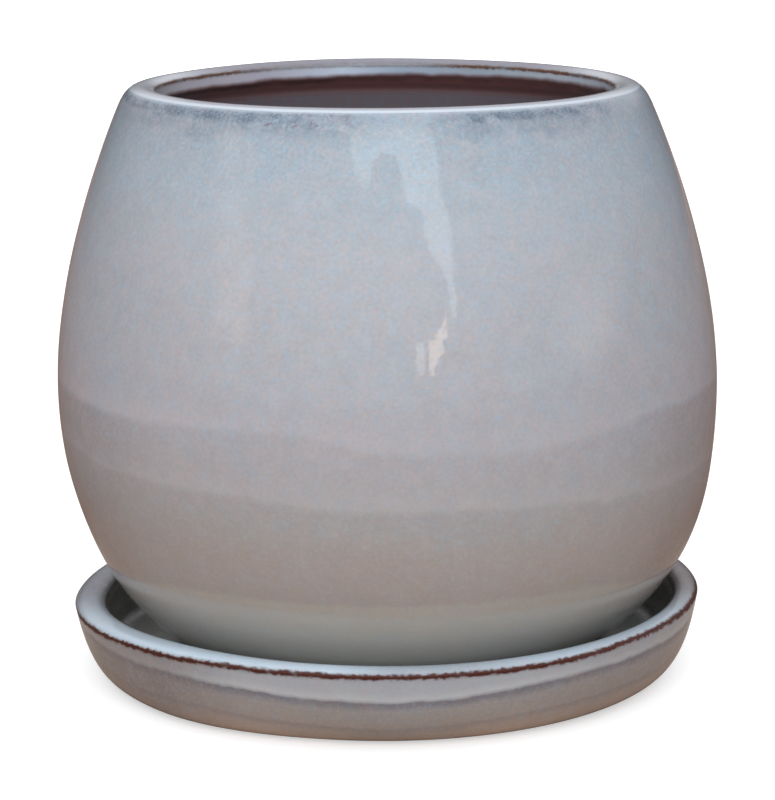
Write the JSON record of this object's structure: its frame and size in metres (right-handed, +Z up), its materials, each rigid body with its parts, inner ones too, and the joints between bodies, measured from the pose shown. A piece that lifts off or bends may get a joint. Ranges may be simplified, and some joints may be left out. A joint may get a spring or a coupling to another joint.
{
  "type": "plant pot with saucer",
  "caption": "Bellied glazed stoneware planter with a rolled lip and a drain hole, standing in its own round drip saucer.",
  "frame": {"origin": "centre of the saucer's foot, on the surface that the planter stands on", "axes": "+Z up along the turning axis of both pieces; the object is round, so +X and +Y are free"},
  "size_m": [0.216, 0.216, 0.1945],
  "materials": {
    "pot_glaze": "glossy grey-blue reactive glaze over brown clay",
    "saucer_glaze": "glossy grey-blue reactive glaze over brown clay"
  },
  "bodies": {
    "saucer": {"saucer": "saucer_glaze"},
    "pot": {"pot": "pot_glaze"}
  },
  "joints": [
    {"name": "pot_lift", "type": "slide", "parent": "saucer", "child": "pot", "axis": [0, 0, 1], "range_m": [0, 0.06]}
  ]
}
